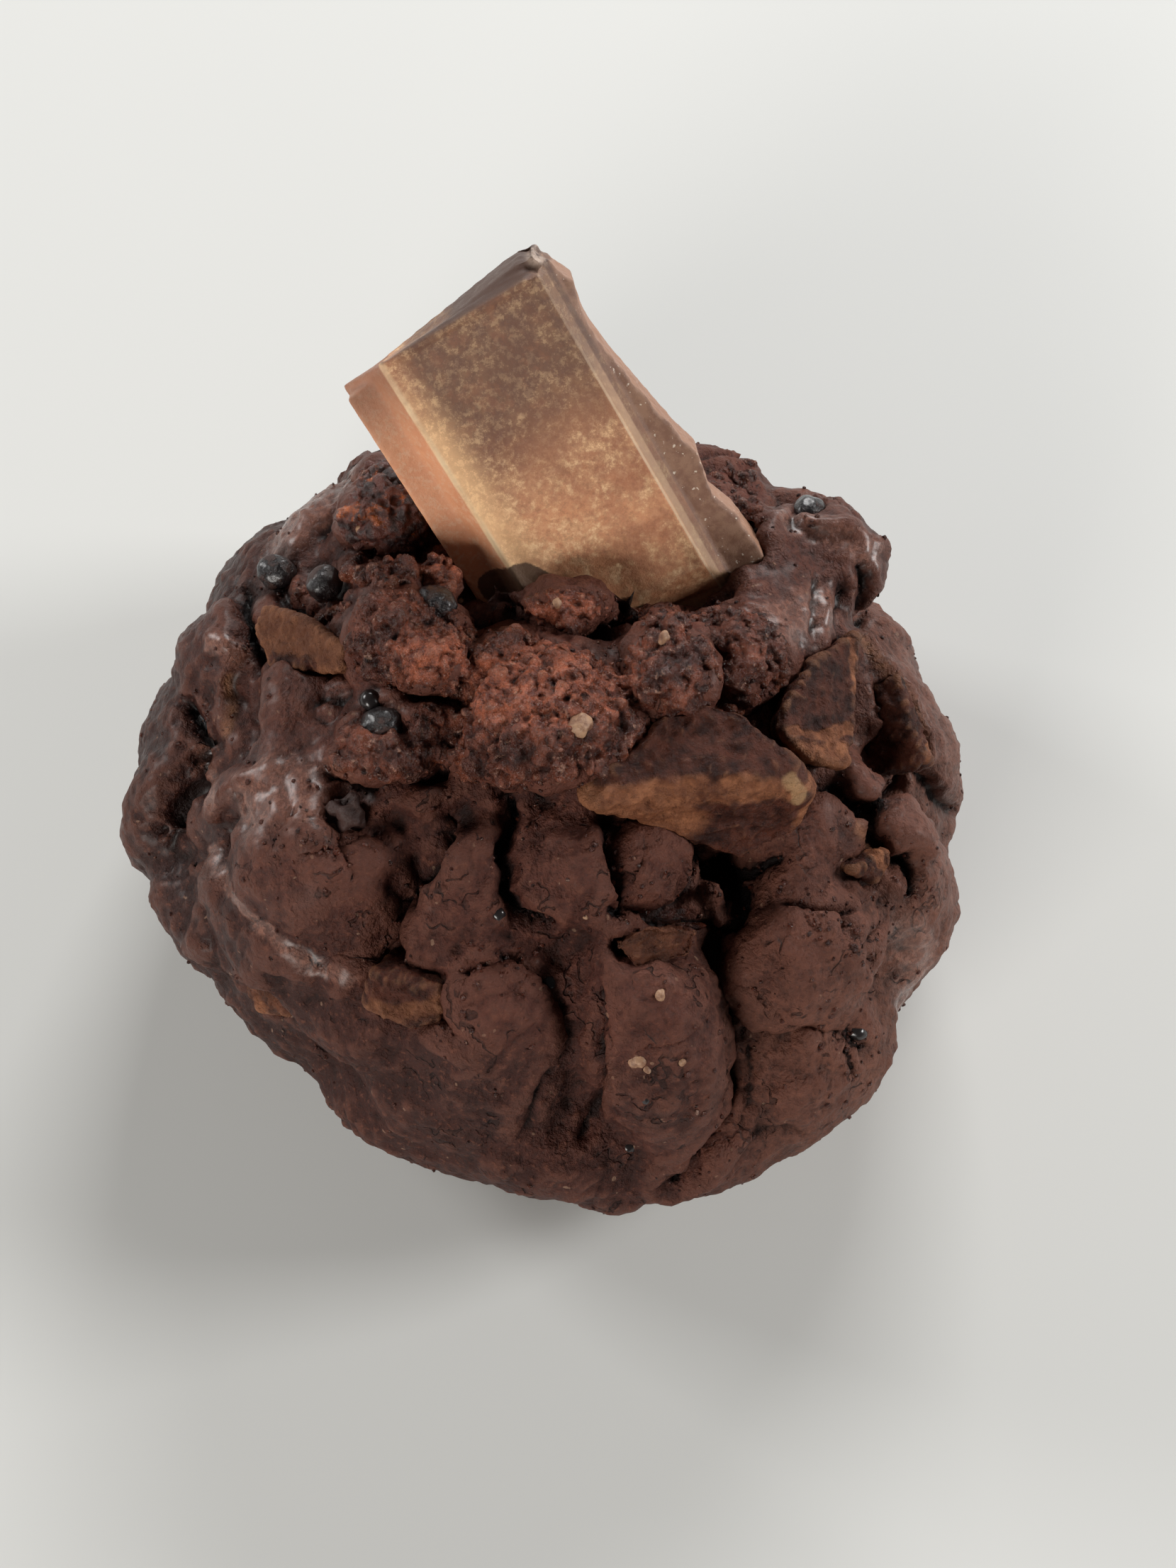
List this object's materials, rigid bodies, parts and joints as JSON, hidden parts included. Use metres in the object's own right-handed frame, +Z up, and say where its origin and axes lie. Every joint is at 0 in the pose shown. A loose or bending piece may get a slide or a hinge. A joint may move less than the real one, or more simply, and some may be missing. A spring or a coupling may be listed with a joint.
{
  "type": "chocolate chip cookie",
  "caption": "Thick domed chocolate cookie with a moulded piece of milk chocolate standing in its top, broken chocolate pieces and dark glazed pearls.",
  "frame": {"origin": "middle of the flat underside", "axes": "+Z up, -Y towards the front, which is the side nearest the viewer in the picture"},
  "size_m": [0.0906, 0.0882, 0.0715],
  "materials": {
    "baked_dough": "baked dark cocoa dough, crumbly on top and smooth at the sides",
    "milk_chocolate": "moulded milk chocolate with a soft sheen and a light bloom",
    "broken_chocolate": "broken milk chocolate, partly coated with dough",
    "dark_glaze": "glossy dark chocolate glaze"
  },
  "bodies": {
    "root": {"dough": "baked_dough", "bar_piece": "milk_chocolate", "chunk_front_wedge": "broken_chocolate", "chunk_right_block": "broken_chocolate", "chunk_right_ridge": "broken_chocolate", "chunk_left_shard": "broken_chocolate", "chunk_low_left": "broken_chocolate", "chunk_far_left": "broken_chocolate", "chunk_tip": "broken_chocolate", "chunk_front_top": "broken_chocolate", "pearl_1": "dark_glaze", "pearl_2": "dark_glaze", "pearl_3": "dark_glaze", "pearl_4": "dark_glaze", "pearl_5": "dark_glaze", "pearl_6": "dark_glaze"}
  },
  "joints": []
}
